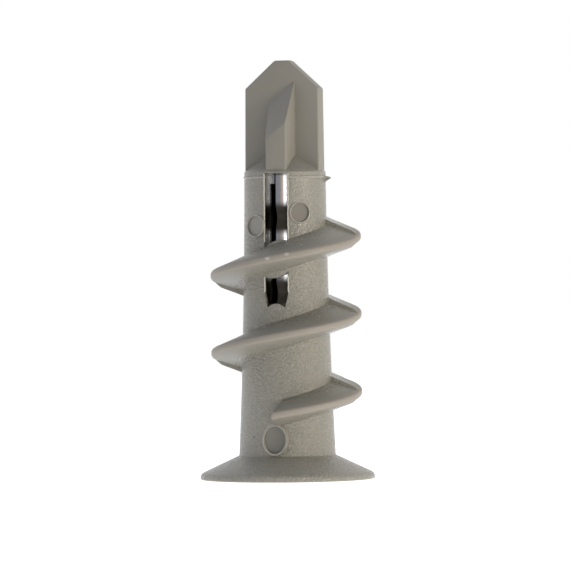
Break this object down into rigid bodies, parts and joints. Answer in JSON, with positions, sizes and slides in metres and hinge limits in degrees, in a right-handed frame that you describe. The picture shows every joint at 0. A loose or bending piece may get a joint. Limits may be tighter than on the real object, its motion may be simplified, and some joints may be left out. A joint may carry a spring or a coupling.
{
  "type": "self-drilling plasterboard anchor",
  "caption": "Nylon self-drilling plasterboard anchor with a flat round head, a coarse right-hand thread, a cross-shaped drill tip and a rolled steel sleeve seen through windows in the core.",
  "frame": {"origin": "centre of the head's flat face, which the anchor stands on", "axes": "+Z along the anchor's axis from the head to the drill tip, -Y towards the windowed front, X across the flat blade of the tip"},
  "size_m": [0.0175, 0.0174, 0.0418],
  "materials": {
    "grey_nylon": "spark-eroded satin",
    "plated_steel": "bright zinc plate"
  },
  "bodies": {
    "root": {"anchor_body": "grey_nylon", "steel_sleeve": "plated_steel"}
  },
  "joints": []
}
